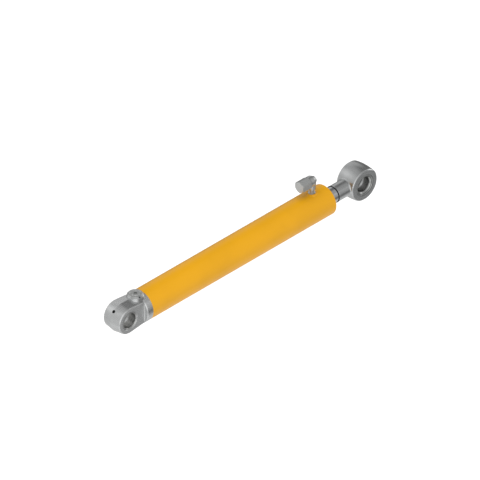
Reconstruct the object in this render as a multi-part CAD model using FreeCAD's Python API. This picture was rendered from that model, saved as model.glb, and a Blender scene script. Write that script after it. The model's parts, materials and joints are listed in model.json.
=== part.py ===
"""Double-acting hydraulic cylinder with a forged base eye, a rod eye and a capped port elbow.

Millimetres. The origin is the centre of the base pin bore, +X runs along the cylinder towards
the rod eye, Y is the axis of both pin bores, and +Z is up, on the side of the oil ports.
The cylinder is drawn fully retracted.
"""
import FreeCAD, Part
import math
import os

# ---- driving dimensions -------------------------------------------------------------------
CLOSED_LENGTH = 694.0        # pin centre to pin centre, retracted
STROKE = 410.0
BORE_R = 30.0
TUBE_R = 35.0
ROD_R = 18.0
PIN_R = 17.5
EYE_WIDTH = 48.0

# clearances
RUN = 0.05                   # radial, between a sliding or turning shaft and its guide
FREE = 0.4                   # radial, between moving metal parts that never touch
RING_AXIAL = 0.2             # beside each ring in its piston groove
END_GAP = 1.0                # left between piston and end stop at each end of the stroke

# base end forging
BASE_RIDGE_R = 34.2          # nose radius on the parting line, in the middle of the width
BASE_FACE_R = 31.0           # nose radius where the draft meets the side face
BASE_RIDGE_HALF = 32.5       # half height of the block on the parting line, inside the collar
BASE_FACE_HALF = 26.5        # half height of the block at the side face, inside the collar
BASE_RIM = 1.8               # chamfer round each side face
BLOCK_END_X = 43.0
COLLAR_X = 42.0
COLLAR_CHAMFER = 1.5
ROOT_FILLET_R = 3.0          # between the block's side faces and the collar
WELD_X = 58.0                # where the bare collar ends and the weld begins
WELD_WIDTH = 6.0
WELD_DEPTH = 4.0
SPIGOT_END_X = 71.0
NUT_POCKET_R = 21.0
NUT_POCKET_X = 58.0
OIL_R = 4.0                  # drilled oil ways

# eyes, bushes and grease holes
BUSH_R = 20.0
BUSH_GAP = 8.0               # grease space between the two bushes of an eye
BUSH_CHAMFER = 1.0
EYE_MOUTH = 1.5              # chamfer at the mouth of each eye bore
GREASE_R = 3.5
ROD_EYE_R = 39.0             # in the middle of the crowned width
ROD_EYE_EDGE_R = 37.0
ROD_EYE_RIM = 2.0            # chamfer round each face
DUST_SEAL_R = 24.5
DUST_SEAL_DEPTH = 4.0
DUST_LIP_R = 18.0
DUST_SEAL_SINK = 0.3         # below the face of the eye
DUST_SEAL_BEVEL = 0.8
DUST_LAND_R = 22.9           # inside this radius the seal dips to a ring-shaped floor
DUST_FLOOR_R = 22.1
DUST_FLOOR_DEPTH = 1.2       # below the seal's land
DUST_LIP_ROOT_R = 19.8       # inside this radius the lip slopes further in
DUST_LIP_DEPTH = 3.2         # below the seal's land
DUST_LIP_EDGE = 0.3          # thickness of the lip's edge
DUST_HEEL_R = 19.5           # inner radius of the seal's back

# base port
BASE_PORT_X = 39.5
BOSS_R = 18.0
BOSS_TOP = 36.8
BOSS_CHAMFER = 0.8
BOSS_FOOT_R = 19.5           # the boss flares out where it meets the block
BOSS_FOOT_Z = 28.5
BOSS_FLARE_Z = 35.5
PLUG_THREAD_R = 10.5
PLUG_FLANGE_R = 16.0
PLUG_FLANGE_TOP = 39.2
PLUG_CHAMFER = 0.8
PLUG_DEPTH = 13.0
PLUG_GROOVE_OUTER_R = 12.4   # ring-shaped groove in the plug's top
PLUG_GROOVE_INNER_R = 8.0
PLUG_GROOVE_DEPTH = 1.0
PLUG_GROOVE_SLOPE = 0.8      # width of each sloping side of the groove
PLUG_SOCKET_FLATS = 8.0
PLUG_SOCKET_DEPTH = 4.5
PLUG_SEAL_R = 13.2
PLUG_SEAL_THICK = 1.6
LOCK_HOLE_R = 1.8
LOCK_HOLE_ANGLE = 259.0      # degrees about the boss, from +X towards +Y
LOCK_HOLE_DEPTH = 7.0
LOCK_SCREW_LENGTH = 4.0

# rod end port, elbow and cap
ROD_PORT_X = 560.0
ROD_PORT_BOSS_R = 10.0
ROD_PORT_BOSS_TOP = 36.5
ROD_PORT_BOSS_CHAMFER = 0.5
STEM_R = 6.0
STEM_SEAL_R = 8.0
STEM_SEAL_THICK = 1.6
STEM_BORE_R = 3.0
STEM_CLEAR = 0.5             # from the bore to the stem's end
ELBOW_LEG_R = 9.0
ELBOW_LEG_TOP_R = 6.5
ELBOW_LEG_TAPER_Z = 61.0     # where the leg starts to taper into the arm
ELBOW_LEG_CHAMFER = 1.2
ELBOW_FOOT_Z = 46.0
ELBOW_AXIS_Z = 67.0
ELBOW_ARM_R = 12.2
ELBOW_CONE_X = 558.5         # where the arm starts to taper
ELBOW_END_X = 567.5
ELBOW_END_R = 7.0
NIPPLE_R = 9.0               # threaded end of the elbow, inside the cap
NIPPLE_SHOULDER_X = 549.5
CAP_OPEN_X = 549.0
CAP_CLOSED_X = 522.5
CAP_FLATS = 24.0             # across flats
CAP_FLOOR = 3.0
CAP_SEAL_THICK = 1.5

# tube end and gland
TUBE_END_X = 599.0
TUBE_END_CHAMFER = 0.8
THREAD_R = 31.5
THREAD_X = 578.0
GLAND_NOSE_R = 26.0
GLAND_FACE_X = 598.0
GLAND_CHAMFER = 1.0
GLAND_LAND_X = 571.0         # where the gland fills the bore
STATIC_GROOVE_X = 572.5
STATIC_GROOVE_WIDTH = 4.3
STATIC_GROOVE_R = 27.2
BACKUP_WIDTH = 1.5
GUIDE_X = 534.0
GUIDE_WIDTH = 15.0
GUIDE_R = 20.5
ROD_SEAL_X = 579.0
ROD_SEAL_WIDTH = 7.0
ROD_SEAL_R = 23.5
ROD_SEAL_GROOVE_HALF = 1.2   # half width of the open groove on the oil side
WIPER_X = 590.0
WIPER_R = 22.5
WIPER_TIP_X = 600.0
WIPER_LIP_THICK = 0.6
WIPER_HEEL_THICK = 2.4
WIPER_HEEL_BACK = 1.0        # how far the heel lies behind the gland face
SPANNER_HOLES = 4
SPANNER_HOLE_R = 2.5
SPANNER_HOLE_CIRCLE_R = 27.0
SPANNER_HOLE_DEPTH = 5.0
SPANNER_HOLE_START = 45.0    # degrees from the top

# piston and its rings
PISTON_X = 72.0
PISTON_LENGTH = 45.0
PISTON_R = BORE_R - FREE
PISTON_CHAMFER = 1.0
WEAR_GROOVE_R = 27.2
WEAR_WIDTH = 8.0
WEAR_INSET = 3.5             # from each piston face to its wear ring groove
SEAL_GROOVE_R = 25.0
SEAL_WIDTH = 8.0
SLIDE_RING_R = 27.6          # inner radius of the seal's slide ring
RING_SPLIT = 1.2
NUT_FLATS = 32.0
NUT_LENGTH = 12.5

# rod
STUD_R = 11.0                # threaded rod end that carries the piston
STUD_SEAL_X = 104.0
STUD_SEAL_SECTION = 2.0
STUD_GROOVE_WIDTH = 2.6
ROD_CHAMFER = 1.0
NECK_X = 625.0
NECK_R = 18.9
NECK_FILLET_R = 4.5
NECK_SOCKET_R = 12.0
NECK_SOCKET_DEPTH = 15.0
NECK_CHAMFER = 0.5
STOP_RING_SECTION = 2.4
STOP_RING_R = 19.3           # outer radius, proud of the rod

CUT_OVER = 1.0               # how far a cutter runs past the face it opens

# ---- shorthand ----------------------------------------------------------------------------
X_AXIS = FreeCAD.Vector(1, 0, 0)
Y_AXIS = FreeCAD.Vector(0, 1, 0)
Z_AXIS = FreeCAD.Vector(0, 0, 1)
ORIGIN = FreeCAD.Vector(0, 0, 0)
HALF_WIDTH = EYE_WIDTH / 2
ROD_EYE_CENTRE = FreeCAD.Vector(CLOSED_LENGTH, 0, 0)
BASE_PORT = FreeCAD.Vector(BASE_PORT_X, 0, 0)
ROD_PORT = FreeCAD.Vector(ROD_PORT_X, 0, 0)
WELD_ROOT_X = WELD_X + WELD_WIDTH / 2
WELD_END_X = WELD_X + WELD_WIDTH
NIPPLE_END_X = CAP_CLOSED_X + CAP_FLOOR + CAP_SEAL_THICK
PISTON_FRONT_X = PISTON_X + PISTON_LENGTH
GLAND_NOSE_X = PISTON_FRONT_X + STROKE + END_GAP
SEAL_GROOVE_X = PISTON_X + (PISTON_LENGTH - SEAL_WIDTH) / 2
WEAR_GROOVES_X = (PISTON_X + WEAR_INSET, PISTON_FRONT_X - WEAR_INSET - WEAR_WIDTH)


def turned(profile, origin=ORIGIN, axis=X_AXIS):
    """Solid turned about an axis through origin; profile holds (place along axis, radius) corners."""
    corners = [FreeCAD.Vector(along, 0, radius) for along, radius in profile]
    return turned_outline(Part.makePolygon(corners + corners[:1]), origin, axis)


def turned_outline(outline, origin, axis):
    """Solid turned from a closed outline drawn in the XZ plane, X being the turning axis."""
    solid = Part.Face(outline).revolve(ORIGIN, X_AXIS, 360)
    solid.Placement = FreeCAD.Placement(origin, FreeCAD.Rotation(X_AXIS, axis))
    return solid


def shaft(start, end, radius, origin=ORIGIN, axis=X_AXIS):
    """Plain round bar between two places on an axis."""
    return Part.makeCylinder(radius, end - start, origin + axis * start, axis)


def sleeve(start, end, outer_r, inner_r, origin=ORIGIN, axis=X_AXIS):
    """Plain round tube between two places on an axis."""
    outer = shaft(start, end, outer_r, origin, axis)
    return outer.cut(shaft(start, end, inner_r, origin, axis))


def round_ring(centre, pitch_r, section, axis=X_AXIS):
    """O-ring: a torus of the given section diameter."""
    return Part.makeTorus(pitch_r, section / 2, centre, axis)


def hex_bar(start, end, across_flats, corner_axis):
    """Hexagonal bar along X with two of its corners on corner_axis, and its ends chamfered."""
    corner_r = across_flats / math.sqrt(3)
    corners = []
    for corner in range(7):
        turn = FreeCAD.Rotation(X_AXIS, 60 * corner)
        corners.append(turn.multVec(corner_axis * corner_r) + X_AXIS * start)
    bar = Part.Face(Part.makePolygon(corners)).extrude(X_AXIS * (end - start))
    overshoot = corner_r - across_flats / 2
    lead = overshoot * math.tan(math.radians(30))
    envelope = turned([(start, 0), (start, across_flats / 2), (start + lead, corner_r),
                       (end - lead, corner_r), (end, across_flats / 2), (end, 0)])
    return bar.common(envelope)


def split(ring, centre_x, gap):
    """Cut a narrow slot through one side of a ring on the X axis."""
    corner = FreeCAD.Vector(centre_x - BORE_R, -gap / 2, 0)
    return ring.cut(Part.makeBox(2 * BORE_R, gap, BORE_R, corner))


# ---- eyes ---------------------------------------------------------------------------------
def eye_outline(y, nose_r, half_height):
    """Side outline of the base eye at one place across its width: a round nose with two
    straight flanks that are tangent to it and end half_height from the axis."""
    reach = math.hypot(BLOCK_END_X, half_height)
    lean = math.atan2(BLOCK_END_X, half_height) - math.acos(nose_r / reach)
    tangent_x = nose_r * math.sin(lean)
    tangent_z = nose_r * math.cos(lean)
    top = FreeCAD.Vector(tangent_x, y, tangent_z)
    nose = FreeCAD.Vector(-nose_r, y, 0)
    bottom = FreeCAD.Vector(tangent_x, y, -tangent_z)
    bottom_end = FreeCAD.Vector(BLOCK_END_X, y, -half_height)
    top_end = FreeCAD.Vector(BLOCK_END_X, y, half_height)
    return Part.Wire([Part.Arc(top, nose, bottom).toShape(), Part.makeLine(bottom, bottom_end),
                      Part.makeLine(bottom_end, top_end), Part.makeLine(top_end, top)])


def drafted_half(side):
    """Half of the forged block, from the parting line out to one side face."""
    ridge = eye_outline(0, BASE_RIDGE_R, BASE_RIDGE_HALF)
    shoulder = eye_outline(side * (HALF_WIDTH - BASE_RIM), BASE_FACE_R, BASE_FACE_HALF)
    face = eye_outline(side * HALF_WIDTH, BASE_FACE_R - BASE_RIM, BASE_FACE_HALF - BASE_RIM)
    return Part.makeLoft([ridge, shoulder, face], True, True)


def root_fillet(side):
    """Concave strip where a side face of the block meets the front of the collar."""
    radius = ROOT_FILLET_R
    height = 2 * math.sqrt((TUBE_R - COLLAR_CHAMFER) ** 2 - (HALF_WIDTH + radius) ** 2)
    corner = FreeCAD.Vector(COLLAR_X - radius, side * HALF_WIDTH - (radius if side < 0 else 0), -height / 2)
    strip = Part.makeBox(radius, radius, height, corner)
    hollow = FreeCAD.Vector(COLLAR_X - radius, side * (HALF_WIDTH + radius), -height / 2)
    return strip.cut(Part.makeCylinder(radius, height, hollow, Z_AXIS))


def eye_bore(centre):
    """Cutter for a pin eye: the bush seat with a chamfer at each mouth."""
    seat_r = BUSH_R + EYE_MOUTH
    return turned([(-HALF_WIDTH, 0), (-HALF_WIDTH, seat_r), (-HALF_WIDTH + EYE_MOUTH, BUSH_R),
                   (HALF_WIDTH - EYE_MOUTH, BUSH_R), (HALF_WIDTH, seat_r), (HALF_WIDTH, 0)],
                  centre, Y_AXIS)


def grease_hole(centre, lengthwise):
    """Cutter for the slanting hole that feeds grease between the two bushes of an eye."""
    slant = FreeCAD.Vector(lengthwise, 0, 1).normalize()
    return shaft(PIN_R, ROD_EYE_R + CUT_OVER, GREASE_R, centre, slant)


def pin_bush(centre, side, outer_end):
    """One of an eye's two pressed bushes, chamfered inside its outer end."""
    inner_end = BUSH_GAP / 2
    return turned([(inner_end, PIN_R), (inner_end, BUSH_R), (outer_end, BUSH_R),
                   (outer_end, PIN_R + BUSH_CHAMFER), (outer_end - BUSH_CHAMFER, PIN_R)],
                  centre, Y_AXIS * side)


def dust_seal(side):
    """Dished lip seal pressed into the rod eye outside the bush, just below the eye's face."""
    inner = HALF_WIDTH - DUST_SEAL_DEPTH
    face = HALF_WIDTH - DUST_SEAL_SINK
    floor = face - DUST_FLOOR_DEPTH
    lip = face - DUST_LIP_DEPTH
    return turned([(inner, DUST_HEEL_R), (inner, DUST_SEAL_R),
                   (face - DUST_SEAL_BEVEL, DUST_SEAL_R), (face, DUST_SEAL_R - DUST_SEAL_BEVEL),
                   (face, DUST_LAND_R), (floor, DUST_FLOOR_R), (floor, DUST_LIP_ROOT_R),
                   (lip, DUST_LIP_R), (lip - DUST_LIP_EDGE, DUST_LIP_R)],
                  ROD_EYE_CENTRE, Y_AXIS * side)


# ---- barrel side --------------------------------------------------------------------------
def base_end():
    """Forged base: drafted eye block, collar, weld preparation, spigot, port boss, oil ways."""
    collar = turned([(COLLAR_X, 0), (COLLAR_X, TUBE_R - COLLAR_CHAMFER),
                     (COLLAR_X + COLLAR_CHAMFER, TUBE_R), (WELD_X, TUBE_R),
                     (WELD_ROOT_X, TUBE_R - WELD_DEPTH), (WELD_ROOT_X, BORE_R),
                     (SPIGOT_END_X, BORE_R), (SPIGOT_END_X, NUT_POCKET_R),
                     (NUT_POCKET_X, NUT_POCKET_R), (NUT_POCKET_X, 0)])
    boss = turned([(PIN_R, 0), (PIN_R, BOSS_R), (BOSS_TOP - BOSS_CHAMFER, BOSS_R),
                   (BOSS_TOP, BOSS_R - BOSS_CHAMFER), (BOSS_TOP, 0)], BASE_PORT, Z_AXIS)
    flare = turned([(BOSS_FOOT_Z, 0), (BOSS_FOOT_Z, BOSS_FOOT_R), (BOSS_FLARE_Z, BOSS_R),
                    (BOSS_FLARE_Z, 0)], BASE_PORT, Z_AXIS)
    body = drafted_half(1).fuse([drafted_half(-1), collar, boss, flare,
                                 root_fillet(1), root_fillet(-1)])
    thread_floor = BOSS_TOP - PLUG_DEPTH
    cutters = [eye_bore(ORIGIN), grease_hole(ORIGIN, -1), lock_hole(),
               shaft(thread_floor, BOSS_TOP + CUT_OVER, PLUG_THREAD_R, BASE_PORT, Z_AXIS),
               shaft(BOSS_TOP - PLUG_SEAL_THICK, BOSS_TOP + CUT_OVER, PLUG_SEAL_R, BASE_PORT, Z_AXIS),
               shaft(0, thread_floor, OIL_R, BASE_PORT, Z_AXIS),
               shaft(BASE_PORT_X, NUT_POCKET_X, OIL_R)]
    return body.cut(cutters).removeSplitter()


def lock_bar(length):
    """Round bar up from the bottom of the locking hole, which is centred on the plug's edge."""
    turn = FreeCAD.Rotation(Z_AXIS, LOCK_HOLE_ANGLE)
    centre = BASE_PORT + turn.multVec(X_AXIS * PLUG_FLANGE_R)
    floor = PLUG_FLANGE_TOP - LOCK_HOLE_DEPTH
    return shaft(floor, floor + length, LOCK_HOLE_R, centre, Z_AXIS)


def lock_hole():
    """Cutter for the small hole on the plug's edge that takes the locking screw."""
    return lock_bar(LOCK_HOLE_DEPTH + CUT_OVER)


def lock_screw():
    """Grub screw sunk in the bottom of the locking hole."""
    return lock_bar(LOCK_SCREW_LENGTH)


def base_port_plug():
    """Round plug with a ring groove and a hexagonal socket, screwed into the base port."""
    foot = BOSS_TOP - PLUG_DEPTH + END_GAP
    groove_floor = PLUG_FLANGE_TOP - PLUG_GROOVE_DEPTH
    body = turned([(foot, 0), (foot, PLUG_THREAD_R - PLUG_CHAMFER), (foot + PLUG_CHAMFER, PLUG_THREAD_R),
                   (BOSS_TOP, PLUG_THREAD_R), (BOSS_TOP, PLUG_FLANGE_R),
                   (PLUG_FLANGE_TOP - PLUG_CHAMFER, PLUG_FLANGE_R),
                   (PLUG_FLANGE_TOP, PLUG_FLANGE_R - PLUG_CHAMFER),
                   (PLUG_FLANGE_TOP, PLUG_GROOVE_OUTER_R),
                   (groove_floor, PLUG_GROOVE_OUTER_R - PLUG_GROOVE_SLOPE),
                   (groove_floor, PLUG_GROOVE_INNER_R + PLUG_GROOVE_SLOPE),
                   (PLUG_FLANGE_TOP, PLUG_GROOVE_INNER_R), (PLUG_FLANGE_TOP, 0)],
                  BASE_PORT, Z_AXIS)
    return body.cut([lock_hole(), socket_key()])


def socket_key():
    """Cutter for the hexagonal socket in the top of the plug."""
    centre = BASE_PORT + Z_AXIS * (PLUG_FLANGE_TOP - PLUG_SOCKET_DEPTH)
    corner = X_AXIS * (PLUG_SOCKET_FLATS / math.sqrt(3))
    corners = []
    for side in range(7):
        corners.append(centre + FreeCAD.Rotation(Z_AXIS, 60 * side).multVec(corner))
    hexagon = Part.Face(Part.makePolygon(corners))
    return hexagon.extrude(Z_AXIS * (PLUG_SOCKET_DEPTH + CUT_OVER))


def base_port_seal():
    """Bonded washer in the recess under the plug's flange."""
    return sleeve(BOSS_TOP - PLUG_SEAL_THICK, BOSS_TOP, PLUG_SEAL_R, PLUG_THREAD_R, BASE_PORT, Z_AXIS)


def tube_weld():
    """Weld that joins tube and base, ground flush."""
    return turned([(WELD_X, TUBE_R), (WELD_ROOT_X, TUBE_R - WELD_DEPTH), (WELD_END_X, TUBE_R)])


def barrel_tube():
    """Honed tube, bored out at the gland end for the thread and pierced for the port boss."""
    tube = turned([(WELD_ROOT_X, BORE_R), (WELD_ROOT_X, TUBE_R - WELD_DEPTH),
                   (WELD_END_X, TUBE_R), (TUBE_END_X - TUBE_END_CHAMFER, TUBE_R),
                   (TUBE_END_X, TUBE_R - TUBE_END_CHAMFER), (TUBE_END_X, THREAD_R),
                   (THREAD_X, THREAD_R), (THREAD_X, BORE_R)])
    return tube.cut(shaft(0, 2 * TUBE_R, ROD_PORT_BOSS_R, ROD_PORT, Z_AXIS))


def rod_port_boss():
    """Welded-in port boss with a recess for the stem's seal, trimmed flush with the bore."""
    top = ROD_PORT_BOSS_TOP
    boss = turned([(0, STEM_R), (0, ROD_PORT_BOSS_R), (top - ROD_PORT_BOSS_CHAMFER, ROD_PORT_BOSS_R),
                   (top, ROD_PORT_BOSS_R - ROD_PORT_BOSS_CHAMFER), (top, STEM_SEAL_R),
                   (top - STEM_SEAL_THICK, STEM_SEAL_R), (top - STEM_SEAL_THICK, STEM_R)],
                  ROD_PORT, Z_AXIS)
    return boss.cut(shaft(ROD_PORT_X - TUBE_R, ROD_PORT_X + TUBE_R, BORE_R))


def port_elbow():
    """Right-angle union: threaded stem, round leg, thicker arm with a tapered end, threaded nipple."""
    level = Z_AXIS * ELBOW_AXIS_Z
    stem = shaft(BORE_R + STEM_CLEAR, ELBOW_FOOT_Z, STEM_R, ROD_PORT, Z_AXIS)
    leg = turned([(ELBOW_FOOT_Z, 0), (ELBOW_FOOT_Z, ELBOW_LEG_R - ELBOW_LEG_CHAMFER),
                  (ELBOW_FOOT_Z + ELBOW_LEG_CHAMFER, ELBOW_LEG_R), (ELBOW_LEG_TAPER_Z, ELBOW_LEG_R),
                  (ELBOW_AXIS_Z, ELBOW_LEG_TOP_R), (ELBOW_AXIS_Z, 0)], ROD_PORT, Z_AXIS)
    arm = turned([(NIPPLE_SHOULDER_X, 0), (NIPPLE_SHOULDER_X, ELBOW_ARM_R), (ELBOW_CONE_X, ELBOW_ARM_R),
                  (ELBOW_END_X, ELBOW_END_R), (ELBOW_END_X, 0)], level)
    nipple = shaft(NIPPLE_END_X, NIPPLE_SHOULDER_X, NIPPLE_R, level)
    oil_way = shaft(0, ELBOW_AXIS_Z, STEM_BORE_R, ROD_PORT, Z_AXIS)
    oil_arm = shaft(NIPPLE_END_X, ROD_PORT_X + STEM_BORE_R, STEM_BORE_R, level)
    return stem.fuse([leg, arm, nipple]).cut([oil_way, oil_arm]).removeSplitter()


def elbow_stem_seal():
    """Bonded steel washer round the elbow's stem, flush in the recess of the port boss."""
    return sleeve(ROD_PORT_BOSS_TOP - STEM_SEAL_THICK, ROD_PORT_BOSS_TOP, STEM_SEAL_R, STEM_R,
                  ROD_PORT, Z_AXIS)


def elbow_cap():
    """Blind hexagonal cap screwed over the elbow's nipple, corners up and down."""
    cap = hex_bar(CAP_CLOSED_X, CAP_OPEN_X, CAP_FLATS, Z_AXIS)
    cap = cap.cut(shaft(CAP_CLOSED_X + CAP_FLOOR, CAP_OPEN_X, NIPPLE_R))
    cap.translate(Z_AXIS * ELBOW_AXIS_Z)
    return cap


def elbow_cap_seal():
    """Soft washer between the nipple's end and the cap's floor."""
    return sleeve(CAP_CLOSED_X + CAP_FLOOR, NIPPLE_END_X, NIPPLE_R, STEM_BORE_R, Z_AXIS * ELBOW_AXIS_Z)


def gland_head():
    """Screwed gland: slim nose past the port, seal land, thread, ring grooves, spanner holes."""
    rod_way_r = ROD_R + FREE
    groove_end = STATIC_GROOVE_X + STATIC_GROOVE_WIDTH
    gland = turned([(GLAND_NOSE_X, rod_way_r), (GLAND_NOSE_X, GLAND_NOSE_R - GLAND_CHAMFER),
                    (GLAND_NOSE_X + GLAND_CHAMFER, GLAND_NOSE_R), (GLAND_LAND_X, GLAND_NOSE_R),
                    (GLAND_LAND_X, BORE_R), (STATIC_GROOVE_X, BORE_R),
                    (STATIC_GROOVE_X, STATIC_GROOVE_R), (groove_end, STATIC_GROOVE_R),
                    (groove_end, BORE_R), (THREAD_X, BORE_R), (THREAD_X, THREAD_R),
                    (GLAND_FACE_X - GLAND_CHAMFER, THREAD_R), (GLAND_FACE_X, THREAD_R - GLAND_CHAMFER),
                    (GLAND_FACE_X, WIPER_R), (WIPER_X, WIPER_R), (WIPER_X, rod_way_r)])
    cutters = [shaft(GUIDE_X, GUIDE_X + GUIDE_WIDTH, GUIDE_R),
               shaft(ROD_SEAL_X, ROD_SEAL_X + ROD_SEAL_WIDTH, ROD_SEAL_R)]
    for hole in range(SPANNER_HOLES):
        turn = FreeCAD.Rotation(X_AXIS, SPANNER_HOLE_START + 360 * hole / SPANNER_HOLES)
        centre = turn.multVec(Z_AXIS * SPANNER_HOLE_CIRCLE_R)
        cutters.append(shaft(GLAND_FACE_X - SPANNER_HOLE_DEPTH, GLAND_FACE_X, SPANNER_HOLE_R, centre))
    return gland.cut(cutters)


def gland_static_seal():
    """O-ring between gland and tube."""
    section = BORE_R - STATIC_GROOVE_R
    centre = X_AXIS * (STATIC_GROOVE_X + section / 2)
    return round_ring(centre, BORE_R - section / 2, section)


def gland_backup_ring():
    """Anti-extrusion ring on the dry side of the gland's O-ring."""
    end = STATIC_GROOVE_X + STATIC_GROOVE_WIDTH
    return sleeve(end - BACKUP_WIDTH, end, BORE_R, STATIC_GROOVE_R)


def rod_guide_ring():
    """Split guide ring that carries the rod."""
    ring = sleeve(GUIDE_X, GUIDE_X + GUIDE_WIDTH, GUIDE_R, ROD_R + RUN)
    return split(ring, GUIDE_X, RING_SPLIT)


def rod_seal():
    """Grooved rod seal with its open side to the oil."""
    inner = ROD_R + RUN
    end = ROD_SEAL_X + ROD_SEAL_WIDTH
    middle_r = (inner + ROD_SEAL_R) / 2
    return turned([(ROD_SEAL_X, inner), (end, inner), (end, ROD_SEAL_R), (ROD_SEAL_X, ROD_SEAL_R),
                   (ROD_SEAL_X, middle_r + ROD_SEAL_GROOVE_HALF),
                   (ROD_SEAL_X + ROD_SEAL_WIDTH / 2, middle_r),
                   (ROD_SEAL_X, middle_r - ROD_SEAL_GROOVE_HALF)])


def rod_wiper():
    """Wiper whose lip stands just proud of the tube end."""
    inner = ROD_R + RUN
    lip_r = inner + WIPER_LIP_THICK
    heel_x = GLAND_FACE_X - WIPER_HEEL_BACK
    return turned([(WIPER_X, lip_r), (WIPER_X, WIPER_R), (heel_x, WIPER_R),
                   (heel_x, inner + WIPER_HEEL_THICK), (WIPER_TIP_X, lip_r), (WIPER_TIP_X, inner),
                   (heel_x, inner), (heel_x - WIPER_HEEL_THICK, lip_r)])


# ---- rings that slide in the bore -----------------------------------------------------------
def piston_wear_ring(groove_x):
    """Split ring that carries the piston in the bore."""
    ring = sleeve(groove_x + RING_AXIAL, groove_x + WEAR_WIDTH - RING_AXIAL,
                  BORE_R - RUN, WEAR_GROOVE_R + 2 * RUN)
    return split(ring, groove_x, RING_SPLIT)


def piston_seal():
    """Slide ring of the piston seal."""
    return sleeve(SEAL_GROOVE_X + RING_AXIAL, SEAL_GROOVE_X + SEAL_WIDTH - RING_AXIAL,
                  BORE_R - RUN, SLIDE_RING_R)


def piston_energiser():
    """O-ring that presses the slide ring outward."""
    inner = SEAL_GROOVE_R + 2 * RUN
    section = SLIDE_RING_R - inner
    return round_ring(X_AXIS * (SEAL_GROOVE_X + SEAL_WIDTH / 2), inner + section / 2, section)


# ---- rod side -------------------------------------------------------------------------------
def piston():
    """Piston with its three ring grooves and the inner groove for the stud's O-ring."""
    end = PISTON_FRONT_X
    body = turned([(PISTON_X, STUD_R), (PISTON_X, PISTON_R - PISTON_CHAMFER),
                   (PISTON_X + PISTON_CHAMFER, PISTON_R), (end - PISTON_CHAMFER, PISTON_R),
                   (end, PISTON_R - PISTON_CHAMFER), (end, STUD_R)])
    grooves = [sleeve(x, x + WEAR_WIDTH, BORE_R, WEAR_GROOVE_R) for x in WEAR_GROOVES_X]
    grooves.append(sleeve(SEAL_GROOVE_X, SEAL_GROOVE_X + SEAL_WIDTH, BORE_R, SEAL_GROOVE_R))
    half = STUD_GROOVE_WIDTH / 2
    grooves.append(shaft(STUD_SEAL_X - half, STUD_SEAL_X + half, STUD_R + STUD_SEAL_SECTION))
    return body.cut(grooves)


def stud_seal():
    """O-ring between the piston and the rod's stud."""
    return round_ring(X_AXIS * STUD_SEAL_X, STUD_R + STUD_SEAL_SECTION / 2, STUD_SEAL_SECTION)


def piston_nut():
    """Hexagonal nut that holds the piston on the stud."""
    nut = hex_bar(PISTON_X - NUT_LENGTH, PISTON_X, NUT_FLATS, Z_AXIS)
    return nut.cut(shaft(PISTON_X - NUT_LENGTH, PISTON_X, STUD_R))


def piston_rod():
    """Chromed rod: threaded stud, ground bar, stop-ring groove and spigot for the eye."""
    stud_end = PISTON_X - NUT_LENGTH
    groove_x = NECK_X - STOP_RING_SECTION
    groove_r = STOP_RING_R - STOP_RING_SECTION
    spigot_end = NECK_X + NECK_SOCKET_DEPTH
    return turned([(stud_end, 0), (stud_end, STUD_R - ROD_CHAMFER), (stud_end + ROD_CHAMFER, STUD_R),
                   (PISTON_FRONT_X, STUD_R), (PISTON_FRONT_X, ROD_R - ROD_CHAMFER),
                   (PISTON_FRONT_X + ROD_CHAMFER, ROD_R), (groove_x, ROD_R), (groove_x, groove_r),
                   (NECK_X, groove_r), (NECK_X, NECK_SOCKET_R), (spigot_end, NECK_SOCKET_R),
                   (spigot_end, 0)])


def stop_ring():
    """Rubber ring that lies in the rod's groove against the neck of the eye."""
    half = STOP_RING_SECTION / 2
    return round_ring(X_AXIS * (NECK_X - half), STOP_RING_R - half, STOP_RING_SECTION)


def crowned_drum():
    """Body of the rod eye: a drum with a crowned rim and a chamfer at each face."""
    edge_y = HALF_WIDTH - ROD_EYE_RIM
    face_r = ROD_EYE_EDGE_R - ROD_EYE_RIM
    left = FreeCAD.Vector(-edge_y, 0, ROD_EYE_EDGE_R)
    right = FreeCAD.Vector(edge_y, 0, ROD_EYE_EDGE_R)
    crown = Part.Arc(left, FreeCAD.Vector(0, 0, ROD_EYE_R), right).toShape()
    rest = Part.makePolygon([right, FreeCAD.Vector(HALF_WIDTH, 0, face_r), X_AXIS * HALF_WIDTH,
                             X_AXIS * -HALF_WIDTH, FreeCAD.Vector(-HALF_WIDTH, 0, face_r), left])
    return turned_outline(Part.Wire([crown] + rest.Edges), ROD_EYE_CENTRE, Y_AXIS)


def rod_eye():
    """Round eye with a filleted neck that is joined to the rod on a short spigot."""
    neck = turned([(NECK_X, 0), (NECK_X, NECK_R - NECK_CHAMFER), (NECK_X + NECK_CHAMFER, NECK_R),
                   (CLOSED_LENGTH, NECK_R), (CLOSED_LENGTH, 0)])
    body = fillet_neck(crowned_drum().fuse(neck))
    cutters = [shaft(NECK_X, NECK_X + NECK_SOCKET_DEPTH, NECK_SOCKET_R),
               shaft(-HALF_WIDTH, HALF_WIDTH, BUSH_R, ROD_EYE_CENTRE, Y_AXIS),
               grease_hole(ROD_EYE_CENTRE, 1)]
    for side in (1, -1):
        cutters.append(shaft(HALF_WIDTH - DUST_SEAL_DEPTH, HALF_WIDTH, DUST_SEAL_R,
                             ROD_EYE_CENTRE, Y_AXIS * side))
    return body.cut(cutters)


def fillet_neck(body):
    """Round the inner corner where the neck runs into the drum of the eye."""
    edges = []
    for edge in body.Edges:
        box = edge.BoundBox
        meets_drum = box.XMin > CLOSED_LENGTH - ROD_EYE_R - CUT_OVER and box.XMax < CLOSED_LENGTH
        if meets_drum and max(box.YMax, -box.YMin) < NECK_R + CUT_OVER:
            edges.append(edge)
    return body.makeFillet(NECK_FILLET_R, edges)


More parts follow.
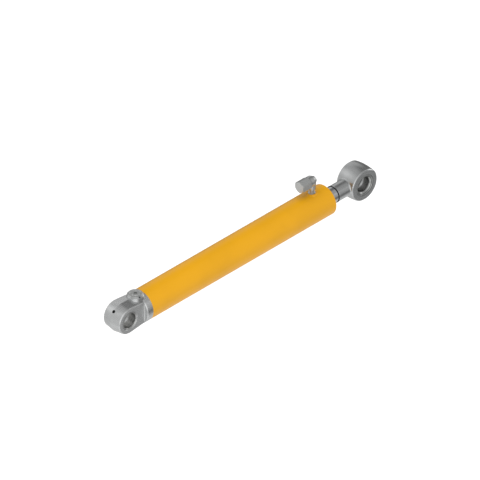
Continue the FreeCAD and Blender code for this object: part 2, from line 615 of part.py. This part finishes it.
def parts():
    """Every sub-part by name."""
    rod_bush_end = HALF_WIDTH - DUST_SEAL_DEPTH
    made = {
        "base_end": base_end(),
        "tube_weld": tube_weld(),
        "barrel_tube": barrel_tube(),
        "base_port_plug": base_port_plug(),
        "base_port_seal": base_port_seal(),
        "plug_lock_screw": lock_screw(),
        "rod_port_boss": rod_port_boss(),
        "port_elbow": port_elbow(),
        "elbow_stem_seal": elbow_stem_seal(),
        "elbow_cap": elbow_cap(),
        "elbow_cap_seal": elbow_cap_seal(),
        "gland_head": gland_head(),
        "gland_static_seal": gland_static_seal(),
        "gland_backup_ring": gland_backup_ring(),
        "rod_guide_ring": rod_guide_ring(),
        "rod_seal": rod_seal(),
        "rod_wiper": rod_wiper(),
        "piston_wear_ring_rear": piston_wear_ring(WEAR_GROOVES_X[0]),
        "piston_wear_ring_front": piston_wear_ring(WEAR_GROOVES_X[1]),
        "piston_seal": piston_seal(),
        "piston_energiser": piston_energiser(),
        "piston": piston(),
        "piston_stud_seal": stud_seal(),
        "piston_nut": piston_nut(),
        "piston_rod": piston_rod(),
        "rod_stop_ring": stop_ring(),
        "rod_eye": rod_eye(),
    }
    for name, side in (("left", 1), ("right", -1)):
        made[f"base_bush_{name}"] = pin_bush(ORIGIN, side, HALF_WIDTH)
        made[f"rod_bush_{name}"] = pin_bush(ROD_EYE_CENTRE, side, rod_bush_end)
        made[f"rod_dust_seal_{name}"] = dust_seal(side)
    return made


def export():
    """Write one STEP file per sub-part and list its volume and size."""
    os.makedirs("parts", exist_ok=True)
    for name, shape in parts().items():
        shape.exportStep(f"parts/{name}.step")
        box = shape.BoundBox
        print(f"{name:24s} solids {len(shape.Solids)} valid {shape.isValid()} "
              f"{shape.Volume:10.0f} mm3 {box.XLength:6.1f} {box.YLength:6.1f} {box.ZLength:6.1f}")


export()
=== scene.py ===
"""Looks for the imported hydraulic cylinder: materials, two detail pieces, studio and camera.

Metres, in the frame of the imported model: +X along the cylinder, Y along the pin bores, +Z up.
"""
import json
import math

import bmesh
import bpy
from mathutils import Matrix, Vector


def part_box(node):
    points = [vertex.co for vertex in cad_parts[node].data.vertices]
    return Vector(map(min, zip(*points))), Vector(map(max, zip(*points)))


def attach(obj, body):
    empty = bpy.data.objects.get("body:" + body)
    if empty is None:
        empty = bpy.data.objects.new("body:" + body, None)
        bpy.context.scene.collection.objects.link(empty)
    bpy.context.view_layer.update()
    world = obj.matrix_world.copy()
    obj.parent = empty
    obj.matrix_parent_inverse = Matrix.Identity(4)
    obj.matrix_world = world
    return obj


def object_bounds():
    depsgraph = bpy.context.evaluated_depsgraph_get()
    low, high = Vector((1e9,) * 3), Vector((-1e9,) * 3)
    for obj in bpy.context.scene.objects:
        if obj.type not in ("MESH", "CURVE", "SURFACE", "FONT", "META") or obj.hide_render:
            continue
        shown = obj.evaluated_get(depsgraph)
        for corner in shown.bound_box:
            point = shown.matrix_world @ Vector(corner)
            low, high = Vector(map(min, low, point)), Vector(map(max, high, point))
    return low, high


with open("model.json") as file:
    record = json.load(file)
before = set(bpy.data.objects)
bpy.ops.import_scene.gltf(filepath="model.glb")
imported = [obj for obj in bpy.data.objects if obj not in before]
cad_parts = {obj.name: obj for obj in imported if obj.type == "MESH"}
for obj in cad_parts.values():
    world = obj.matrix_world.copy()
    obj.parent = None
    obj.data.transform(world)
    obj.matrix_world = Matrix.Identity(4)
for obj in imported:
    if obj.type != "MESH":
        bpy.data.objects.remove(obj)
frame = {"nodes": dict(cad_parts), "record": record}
CAD_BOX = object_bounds()

MM = 0.001
ROD_AXIS = (1, 0, 0)
PIN_AXIS = (0, 1, 0)
BASE_PIN = Vector((0, 0, 0))
ROD_PIN = Vector((694 * MM, 0, 0))

# ---- camera --------------------------------------------------------------------------------
VIEW_BACK = Vector((-1, -1, 1)).normalized()   # from the object towards the camera
VIEW_CENTRE = Vector((0.3487, 0.0012, 0.0195))
VIEW_WIDTH = 1.003                             # width of the picture at the object
LENS = 1600.0                                  # so long that the view is all but parallel
SENSOR = 36.0

# ---- studio --------------------------------------------------------------------------------
WHITE = (1, 1, 1, 1)
FLOOR_DROP = 0.30                              # the floor lies this far under the object
FLOOR_SIZE = 60.0
FLOOR_COLOUR = (0.9, 0.9, 0.9)
FLOOR_ROUGHNESS = 0.9
FLOOR_GLOW = 0.35

KEY_DIRECTION = (-0.2, -0.25, 1.0)             # from the object towards the key light
KEY_DISTANCE = 2.5
KEY_SIZE = 3.0
KEY_POWER = 46

AMBIENT = 0.19                                 # light that comes from every direction
# Soft lobes of light on top of that: direction from the object, angle from it in degrees
# within which the lobe is full, angle at which it ends, and strength
LOBES = (
    ((0, 0, -1), 35, 68, 0.5),                 # below
    ((-0.7, 0.6, 0.1), 25, 65, 0.42),          # beyond the base end
    ((-0.5, -0.7, 0.45), 10, 55, 0.7),         # behind the camera
    ((-0.8, -0.5, -0.3), 20, 55, 0.4),         # low, in front of the base end
    ((-0.2, 0.6, 0.78), 15, 45, 0.3),          # overhead, to the back
    ((0.55, -0.8, 0.2), 5, 30, 0.3),           # three small ones round the rod end
    ((0.5, 0.8, 0.35), 5, 30, 0.4),
    ((1.0, -0.1, 0.2), 8, 25, 1.3),
    ((0.5, -0.4, 0.75), 10, 40, 0.25),         # overhead, towards the rod end
)

# ---- detail pieces -------------------------------------------------------------------------
SHARP_ANGLE = math.radians(40)
WELD_LEG = 2.6 * MM
WELD_HEIGHT = 0.60                             # height of the bead as a share of its leg
WELD_BURY = 0.3 * MM                           # how far a bead sinks into what it is welded to
WELD_STEPS = 240
WELD_RIPPLES = 40
WELD_RIPPLE_DEPTH = 0.15                       # as a share of the leg
WELD_SECTION = 6                               # points across the bead
THREAD_PITCH = 1.34 * MM
THREAD_STEPS = 32                              # steps in one turn
THREAD_DEPTH = 0.55 * MM
THREAD_BURY = 0.2 * MM
THREAD_ROOT_R = 6.0 * MM
THREAD_ROOT_HALF = 0.45 * THREAD_PITCH         # half width of the ridge where it leaves the stem
THREAD_CREST_HALF = 0.1 * THREAD_PITCH
THREAD_TOP = 45.5 * MM

# ---- machining, wear, painted shade and dirt on the eyes -----------------------------------
FACE_Y = 23.5 * MM                             # the rod eye's end faces lie just outside this
FACE_SHARE = 0.85                              # tone of an end face beside the rest of the eye
TURNING_FEED = 0.6 * MM                        # from one mark of the turning tool to the next
SEAL_SEAT_R = 24.5 * MM
SEAL_DISH_INNER_R = 19.9 * MM
SEAL_DISH_OUTER_R = 22.4 * MM
SEAM = 0.9 * MM
RING_EDGE = 0.2 * MM                           # half width of the soft edge of a ring of painted shade and dirt
SHADE_AND_DIRT_SHARE = 0.6                               # tone of steel darkened by painted shade and dirt beside that of the clean steel
ROD_BUSH_SHARE = 0.6                               # the same for a film of old grease
BASE_HOLE_DIRECTION = (-1, 0, 1)               # grease holes, outwards from the pin's centre
ROD_HOLE_DIRECTION = (1, 0, 1)
GREASE_HOLE_R = 3.5 * MM
SHADE_AND_GREASE_EDGE = 0.1 * MM                         # how far the painted shade and grease reach past the hole's edge
SHADE_AND_GREASE_SHARE = 0.02                            # tone of the hole's painted shade and grease beside that of the clean steel

# ---- colours (linear) ----------------------------------------------------------------------
PAINT = (0.74, 0.355, 0.0035)
CHROME = (0.62, 0.63, 0.645)

# ---- scale of noise along the axes, small where tool marks are long ------------------------
EVEN = (1, 1, 1)
ALONG_X = (0.04, 1, 1)
ALONG_Y = (1, 0.05, 1)
ALONG_Z = (1, 1, 0.2)

# ---- noise: features per metre, and the roughness of its finer layers ----------------------
CLOUDS = 9
PATCHES = 45
SHEEN = 60
HAZE = 70
BLOOM = 90
STAINS = 260
ORANGE_PEEL = 420
PEENING = 700
DUST = 900
POLISH_LINES = 2600
NOISE_ROUGHNESS = 0.55

# ---- spans of noise values over which an effect sets in ------------------------------------
MARK_SPAN = (0.3, 0.7)
CLOUD_SPAN = (0.35, 0.7)
PATCH_SPAN = (0.35, 0.72)
BLOOM_SPAN = (0.4, 0.75)
STAIN_SPAN = (0.62, 0.8)
DUST_SPAN = (0.72, 0.8)
NONE_TO_ALL = (0.0, 1.0)
ALL_TO_NONE = (1.0, 0.0)

# ---- depth of relief -----------------------------------------------------------------------
PEENING_DEPTH = 0.5 * MM
ORANGE_PEEL_DEPTH = 0.4 * MM
GRAIN_DEPTH = 0.3 * MM
MARK_DEPTH = 0.2 * MM
TURNING_DEPTH = 0.1 * MM
POLISH_DEPTH = 0.1 * MM

# ---- places of the colour sockets on a Mix node --------------------------------------------
MIX_FIRST = 6
MIX_SECOND = 7
MIX_RESULT = 2


def shaded(colour, share):
    """The colour made darker or lighter by a share."""
    return tuple(share * channel for channel in colour)


# ---- nodes ---------------------------------------------------------------------------------
class Nodes:
    """Short names for building a node tree."""

    def __init__(self, tree):
        self.tree = tree

    def add(self, kind, **settings):
        """New node of a kind, with its own settings."""
        node = self.tree.nodes.new("ShaderNode" + kind)
        for name, value in settings.items():
            setattr(node, name, value)
        return node

    def feed(self, socket, value):
        """Link another node's output to the socket, or set a constant on it."""
        if isinstance(value, bpy.types.NodeSocket):
            self.tree.links.new(value, socket)
        else:
            socket.default_value = value

    def math(self, operation, *values):
        """Arithmetic on numbers and outputs."""
        node = self.add("Math", operation=operation)
        for socket, value in zip(node.inputs, values):
            self.feed(socket, value)
        return node.outputs["Value"]

    def vector_math(self, operation, *vectors, output="Vector"):
        """Vector arithmetic on constants and outputs."""
        node = self.add("VectorMath", operation=operation)
        for socket, vector in zip(node.inputs, vectors):
            self.feed(socket, vector)
        return node.outputs[output]

    def remap(self, value, span_in, span_out):
        """Smooth step from one span of values to another."""
        node = self.add("MapRange", interpolation_type="SMOOTHSTEP")
        names = ("Value", "From Min", "From Max", "To Min", "To Max")
        for name, setting in zip(names, (value, *span_in, *span_out)):
            self.feed(node.inputs[name], setting)
        return node.outputs["Result"]

    def mix(self, factor, first, second, blend="MIX"):
        """Blend of two colours, each three numbers or an output."""
        node = self.add("Mix", data_type="RGBA", blend_type=blend)
        self.feed(node.inputs["Factor"], factor)
        for index, colour in ((MIX_FIRST, first), (MIX_SECOND, second)):
            self.feed(node.inputs[index], (*colour, 1) if isinstance(colour, tuple) else colour)
        return node.outputs[MIX_RESULT]


class Shader(Nodes):
    """One material: plain values first, then what varies over the surface."""

    def __init__(self, name, base, metallic, roughness):
        self.material = bpy.data.materials.new(name)
        self.material.use_nodes = True
        super().__init__(self.material.node_tree)
        self.bsdf = self.tree.nodes["Principled BSDF"]
        self.set("Base Color", (*base, 1))
        self.set("Metallic", metallic)
        self.set("Roughness", roughness)
        self.where = self.add("TexCoord").outputs["Object"]

    def set(self, name, value):
        """Give the surface a constant or another node's output."""
        self.feed(self.bsdf.inputs[name], value)

    def noise(self, scale, detail, stretch=EVEN):
        """Noise in the object's own space, stretched along the axes."""
        mapping = self.add("Mapping")
        self.feed(mapping.inputs["Scale"], stretch)
        self.feed(mapping.inputs["Vector"], self.where)
        node = self.add("TexNoise")
        self.feed(node.inputs["Scale"], scale)
        self.feed(node.inputs["Detail"], detail)
        self.feed(node.inputs["Roughness"], NOISE_ROUGHNESS)
        self.feed(node.inputs["Vector"], mapping.outputs["Vector"])
        return node.outputs["Fac"]

    def bump(self, height, strength, depth):
        """Add relief; several calls stack."""
        node = self.add("Bump")
        self.feed(node.inputs["Strength"], strength)
        self.feed(node.inputs["Distance"], depth)
        self.feed(node.inputs["Height"], height)
        normal = self.bsdf.inputs["Normal"]
        if normal.is_linked:
            self.feed(node.inputs["Normal"], normal.links[0].from_socket)
        self.set("Normal", node.outputs["Normal"])

    def about_axis(self, centre, direction):
        """Distance from an axis, and place along it, of each point of the object."""
        axis = Vector(direction).normalized()
        offset = self.vector_math("SUBTRACT", self.where, centre)
        across = self.vector_math("CROSS_PRODUCT", offset, axis)
        distance = self.vector_math("LENGTH", across, output="Value")
        return distance, self.vector_math("DOT_PRODUCT", offset, axis, output="Value")

    def darken(self, mask, share):
        """Multiply the colour set so far by a share where the mask is one."""
        clean = self.bsdf.inputs["Base Color"].links[0].from_socket
        self.set("Base Color", self.mix(mask, clean, (share, share, share), "MULTIPLY"))

    def hole_shade_and_grease(self, centre, direction):
        """Painted shade and black old grease inside a grease hole that runs outwards from a
        centre.
        """
        distance, along = self.about_axis(centre, direction)
        edge = (GREASE_HOLE_R + SHADE_AND_GREASE_EDGE, GREASE_HOLE_R + 2 * SHADE_AND_GREASE_EDGE)
        inside = self.remap(distance, edge, ALL_TO_NONE)
        outward = self.remap(along, (0.0, GREASE_HOLE_R), NONE_TO_ALL)
        shade_and_grease = self.math("MULTIPLY", inside, outward)
        # painted shade and grease: the inside of the hole is darkened almost to black and made not
        # metal
        self.darken(shade_and_grease, SHADE_AND_GREASE_SHARE)
        self.set("Metallic", self.math("SUBTRACT", 1.0, shade_and_grease))

    def shade_and_dirt_ring(self, distance, inner, outer):
        """Painted shade and dirt darkening a ring-shaped groove or seam."""
        past = self.remap(distance, (inner - RING_EDGE, inner + RING_EDGE), NONE_TO_ALL)
        before = self.remap(distance, (outer - RING_EDGE, outer + RING_EDGE), ALL_TO_NONE)
        # painted shade and dirt: the ring is darkened by a share
        self.darken(self.math("MULTIPLY", past, before), SHADE_AND_DIRT_SHARE)


# ---- materials -----------------------------------------------------------------------------
def painted_yellow():
    """Smooth machine paint: slight orange peel, faint clouding and fine dust specks."""
    paint = Shader("yellow_paint", PAINT, metallic=0.0, roughness=0.38)
    clouds = paint.remap(paint.noise(CLOUDS, detail=3), CLOUD_SPAN, NONE_TO_ALL)
    specks = paint.remap(paint.noise(DUST, detail=1), DUST_SPAN, (0.0, 0.25))
    tone = paint.mix(clouds, shaded(PAINT, 0.97), shaded(PAINT, 1.03))
    paint.set("Base Color", paint.mix(specks, tone, shaded(PAINT, 0.7)))
    sheen = paint.noise(SHEEN, detail=3)
    paint.set("Roughness", paint.remap(sheen, MARK_SPAN, (0.34, 0.42)))
    paint.bump(paint.noise(ORANGE_PEEL, detail=2), strength=0.12, depth=ORANGE_PEEL_DEPTH)
    paint.set("Specular IOR Level", 0.35)
    paint.set("Coat Weight", 0.12)
    paint.set("Coat Roughness", 0.22)
    return paint


def steel(name, base, roughness, grain, stretch=EVEN, peen=0.0):
    """Bare steel: tone patches, stains, tool marks, and for forged skins a peened relief."""
    metal = Shader(name, base, metallic=1.0, roughness=roughness)
    patches = metal.remap(metal.noise(PATCHES, detail=4), PATCH_SPAN, NONE_TO_ALL)
    stains = metal.remap(metal.noise(STAINS, detail=3), STAIN_SPAN, (0.0, 0.4))
    tone = metal.mix(patches, base, shaded(base, 0.93))
    metal.set("Base Color", metal.mix(stains, tone, shaded(base, 0.68)))
    marks = metal.noise(grain, detail=2, stretch=stretch)
    streaks = metal.remap(marks, MARK_SPAN, (-0.05, 0.05))
    sheen = metal.remap(patches, NONE_TO_ALL, (roughness - 0.03, roughness + 0.04))
    metal.set("Roughness", metal.math("ADD", streaks, sheen))
    metal.bump(marks, strength=0.10, depth=MARK_DEPTH)
    if peen:
        metal.bump(metal.noise(PEENING, detail=3), strength=peen, depth=PEENING_DEPTH)
    return metal


def forged_steel():
    """Forged base end, with painted shade and old grease in its grease hole."""
    metal = steel("forged_steel", (0.69, 0.70, 0.70), roughness=0.28, grain=500, peen=0.10)
    # painted shade and grease darken the grease hole
    metal.hole_shade_and_grease(BASE_PIN, BASE_HOLE_DIRECTION)
    return metal


def eye_steel():
    """Rod eye: turned end faces, painted shade and dirt in the seam round each seal, painted shade
    and grease in its hole.
    """
    metal = steel("eye_steel", (0.58, 0.59, 0.59), roughness=0.26, grain=900, stretch=ALONG_Y)
    distance, along = metal.about_axis(ROD_PIN, PIN_AXIS)
    from_middle = metal.math("ABSOLUTE", along)
    on_face = metal.remap(from_middle, (FACE_Y - 2 * RING_EDGE, FACE_Y), NONE_TO_ALL)
    turning = metal.math("SINE", metal.math("MULTIPLY", distance, 2 * math.pi / TURNING_FEED))
    metal.bump(metal.math("MULTIPLY", on_face, turning), strength=0.15, depth=TURNING_DEPTH)
    metal.darken(on_face, FACE_SHARE)
    # painted shade and dirt in the seam between each seal case and the eye
    metal.shade_and_dirt_ring(distance, SEAL_SEAT_R, SEAL_SEAT_R + SEAM)
    # painted shade and grease darken the grease hole
    metal.hole_shade_and_grease(ROD_PIN, ROD_HOLE_DIRECTION)
    return metal


def bush_steel():
    """Ground bush bore, darker at the rod end."""
    metal = steel("bush_steel", (0.58, 0.58, 0.57), roughness=0.28, grain=1200, stretch=ALONG_Y)
    along = metal.vector_math("DOT_PRODUCT", metal.where, ROD_AXIS, output="Value")
    at_rod_end = metal.remap(along, (ROD_PIN.x / 3, ROD_PIN.x / 2), NONE_TO_ALL)
    # the bush at the rod end is made darker than the one at the base end
    metal.darken(at_rod_end, ROD_BUSH_SHARE)
    return metal


def seal_case():
    """Pressed steel case of a dust seal, with painted shade and dirt in the dish between its land
    and its lip.
    """
    metal = steel("seal_case", (0.52, 0.53, 0.52), roughness=0.30, grain=900, stretch=ALONG_Y)
    distance, _ = metal.about_axis(ROD_PIN, PIN_AXIS)
    # painted shade and dirt darken the dish between the land and the lip
    metal.shade_and_dirt_ring(distance, SEAL_DISH_INNER_R, SEAL_DISH_OUTER_R)
    return metal


def chrome():
    """Hard-chromed ground bar: very fine lengthwise polish lines and faint haze."""
    metal = Shader("rod_chrome", CHROME, metallic=1.0, roughness=0.12)
    haze = metal.noise(HAZE, detail=3)
    lines = metal.noise(POLISH_LINES, detail=1, stretch=ALONG_X)
    dull = metal.remap(haze, CLOUD_SPAN, NONE_TO_ALL)
    metal.set("Base Color", metal.mix(dull, CHROME, shaded(CHROME, 0.92)))
    sheen = metal.remap(haze, MARK_SPAN, (0.09, 0.16))
    streaks = metal.remap(lines, MARK_SPAN, (0.0, 0.04))
    metal.set("Roughness", metal.math("ADD", sheen, streaks))
    metal.bump(lines, strength=0.03, depth=POLISH_DEPTH)
    return metal


def moulded(name, base, roughness, grain=900, relief=0.15):
    """Rubber or plastic: fine grain, slightly uneven tone and sheen."""
    soft = Shader(name, base, metallic=0.0, roughness=roughness)
    bloom = soft.remap(soft.noise(BLOOM, detail=4), BLOOM_SPAN, NONE_TO_ALL)
    soft.set("Base Color", soft.mix(bloom, base, shaded(base, 1.5)))
    grains = soft.noise(grain, detail=2)
    soft.set("Roughness", soft.remap(grains, MARK_SPAN, (roughness - 0.06, roughness + 0.06)))
    soft.bump(grains, strength=relief, depth=GRAIN_DEPTH)
    soft.set("Specular IOR Level", 0.2)
    return soft


def slot_materials():
    """One finished material for each of the record's slots: name, colour, roughness, grain."""
    shaders = (
        painted_yellow(),
        forged_steel(),
        eye_steel(),
        steel("machined_steel", (0.50, 0.50, 0.49), 0.25, 900, ALONG_X),
        bush_steel(),
        steel("plated_steel", (0.66, 0.67, 0.66), 0.32, 700, ALONG_Z),
        steel("black_steel", (0.05, 0.05, 0.05), 0.40, 700),
        chrome(),
        seal_case(),
        moulded("black_rubber", (0.008, 0.008, 0.009), 0.55),
        moulded("seal_polyurethane", (0.03, 0.10, 0.24), 0.40),
        moulded("seal_polymer", (0.08, 0.14, 0.11), 0.42),
        moulded("guide_polymer", (0.28, 0.09, 0.05), 0.55, grain=1500, relief=0.25),
        steel("copper_washer", (0.72, 0.36, 0.20), 0.30, 700),
    )
    return {shader.material.name: shader.material for shader in shaders}


def drop_imported_materials():
    """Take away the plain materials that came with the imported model, which frees their names."""
    for material in list(bpy.data.materials):
        bpy.data.materials.remove(material)


def finish_nodes(materials):
    """Give every CAD node the material of its slot."""
    for part in frame["record"]["subparts"]:
        mesh = frame["nodes"][part["node"]].data
        mesh.materials.clear()
        mesh.materials.append(materials[part["material_slot"]])


# ---- detail pieces -------------------------------------------------------------------------
def solid_piece(name, body, slot, materials, rows, closed):
    """Mesh piece from rows of points; each row is a loop, and the rows close up or are capped."""
    mesh = bmesh.new()
    loops = [[mesh.verts.new(point) for point in row] for row in rows]
    pairs = list(zip(loops, loops[1:]))
    if closed:
        pairs.append((loops[-1], loops[0]))
    else:
        mesh.faces.new(loops[0])
        mesh.faces.new(reversed(loops[-1]))
    for here, there in pairs:
        for index in range(len(here)):
            after = (index + 1) % len(here)
            mesh.faces.new((here[index], there[index], there[after], here[after]))
    bmesh.ops.recalc_face_normals(mesh, faces=mesh.faces)
    data = bpy.data.meshes.new(name)
    mesh.to_mesh(data)
    mesh.free()
    data.polygons.foreach_set("use_smooth", [True] * len(data.polygons))
    data.set_sharp_from_angle(angle=SHARP_ANGLE)
    data.materials.append(materials[slot])
    piece = bpy.data.objects.new(name, data)
    bpy.context.collection.objects.link(piece)
    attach(piece, body)


def outward_at(step, steps):
    """Horizontal unit vector, a number of steps round a full turn."""
    angle = 2 * math.pi * step / steps
    return Vector((math.cos(angle), math.sin(angle), 0))


def boss_weld(materials):
    """Rippled fillet weld round the rod end's port boss, lying on the curved tube."""
    low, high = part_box("rod_port_boss")
    boss_r = (high.x - low.x) / 2
    centre_x = (high.x + low.x) / 2
    tube_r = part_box("barrel_tube")[1].z

    def on_tube(outward, reach, height):
        """Point at a reach from the boss's axis and a height over the tube's skin."""
        point = outward * reach
        skin = math.sqrt(tube_r ** 2 - point.y ** 2)
        return Vector((point.x + centre_x, point.y, skin + height))

    rows = []
    for step in range(WELD_STEPS):
        outward = outward_at(step, WELD_STEPS)
        ripple = abs(math.sin(math.pi * step * WELD_RIPPLES / WELD_STEPS))
        leg = WELD_LEG * (1 - WELD_RIPPLE_DEPTH + WELD_RIPPLE_DEPTH * ripple)
        section = []
        for across in range(WELD_SECTION):
            lean = math.pi / 2 * across / (WELD_SECTION - 1)
            reach = boss_r - WELD_BURY + leg * math.sin(lean)
            section.append(on_tube(outward, reach, leg * math.cos(lean) * WELD_HEIGHT - WELD_BURY))
        section.append(on_tube(outward, boss_r - 2 * WELD_BURY, -2 * WELD_BURY))
        rows.append(section)
    solid_piece("boss_weld", "barrel", "yellow_paint", materials, rows, closed=True)


def stem_thread(materials):
    """Helical thread ridge on the elbow's stem, from the port boss up to the elbow's foot."""
    low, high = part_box("rod_port_boss")
    centre_x = (low.x + high.x) / 2
    start = high.z
    turns = (THREAD_TOP - start) / THREAD_PITCH
    ridge = (
        (THREAD_ROOT_R - THREAD_BURY, -THREAD_ROOT_HALF),
        (THREAD_ROOT_R + THREAD_DEPTH, -THREAD_CREST_HALF),
        (THREAD_ROOT_R + THREAD_DEPTH, THREAD_CREST_HALF),
        (THREAD_ROOT_R - THREAD_BURY, THREAD_ROOT_HALF),
    )
    rows = []
    for step in range(int(turns * THREAD_STEPS) + 1):
        outward = outward_at(step, THREAD_STEPS)
        height = start + THREAD_PITCH * step / THREAD_STEPS
        section = []
        for radius, rise in ridge:
            point = outward * radius
            section.append(Vector((point.x + centre_x, point.y, height + rise)))
        rows.append(section)
    solid_piece("stem_thread", "barrel", "plated_steel", materials, rows, closed=False)


# ---- studio --------------------------------------------------------------------------------
def surroundings():
    """Soft light by direction on the object; the camera itself sees a plain white backdrop."""
    world = bpy.data.worlds.new("studio")
    bpy.context.scene.world = world
    world.use_nodes = True
    sky = Nodes(world.node_tree)
    where = sky.add("TexCoord").outputs["Generated"]
    light = 0.0
    for direction, inner, outer, strength in LOBES:
        towards = Vector(direction).normalized()
        closeness = sky.vector_math("DOT_PRODUCT", where, towards, output="Value")
        edge = (math.cos(math.radians(outer)), math.cos(math.radians(inner)))
        light = sky.math("ADD", light, sky.remap(closeness, edge, (0.0, strength)))
    light = sky.math("ADD", light, AMBIENT)
    is_camera_ray = sky.add("LightPath").outputs["Is Camera Ray"]
    background = world.node_tree.nodes["Background"]
    sky.feed(background.inputs["Color"], WHITE)
    sky.feed(background.inputs["Strength"], sky.math("MAXIMUM", light, is_camera_ray))


def floor():
    """Plain pale floor, well below the object so that it catches only a faint shadow."""
    height = CAD_BOX[0][2] - FLOOR_DROP
    bpy.ops.mesh.primitive_plane_add(size=FLOOR_SIZE, location=(0, 0, height))
    plane = bpy.context.object
    plane.name = "floor"
    pale = Shader("floor_pale", FLOOR_COLOUR, metallic=0.0, roughness=FLOOR_ROUGHNESS)
    pale.set("Emission Color", WHITE)
    pale.set("Emission Strength", FLOOR_GLOW)
    plane.data.materials.append(pale.material)
    plane.visible_glossy = False


def key_light():
    """Large disc light overhead, aimed at the object."""
    data = bpy.data.lights.new("key", "AREA")
    data.shape = "DISK"
    data.size = KEY_SIZE
    data.energy = KEY_POWER
    light = bpy.data.objects.new("key", data)
    bpy.context.collection.objects.link(light)
    towards = Vector(KEY_DIRECTION).normalized()
    light.location = VIEW_CENTRE + towards * KEY_DISTANCE
    light.rotation_mode = "QUATERNION"
    light.rotation_quaternion = towards.to_track_quat("Z", "Y")
    light.visible_glossy = False


def camera():
    """Isometric view of the near side, the top and the base end, through a very long lens."""
    data = bpy.data.cameras.new("camera")
    data.lens = LENS
    data.sensor_width = SENSOR
    holder = bpy.data.objects.new("camera", data)
    bpy.context.collection.objects.link(holder)
    distance = VIEW_WIDTH * LENS / SENSOR
    data.clip_end = 2 * distance
    holder.location = VIEW_CENTRE + VIEW_BACK * distance
    holder.rotation_mode = "QUATERNION"
    holder.rotation_quaternion = VIEW_BACK.to_track_quat("Z", "Y")
    bpy.context.scene.camera = holder


def main():
    drop_imported_materials()
    materials = slot_materials()
    finish_nodes(materials)
    boss_weld(materials)
    stem_thread(materials)
    surroundings()
    floor()
    key_light()
    camera()
    bpy.context.scene.view_settings.view_transform = "Standard"


main()
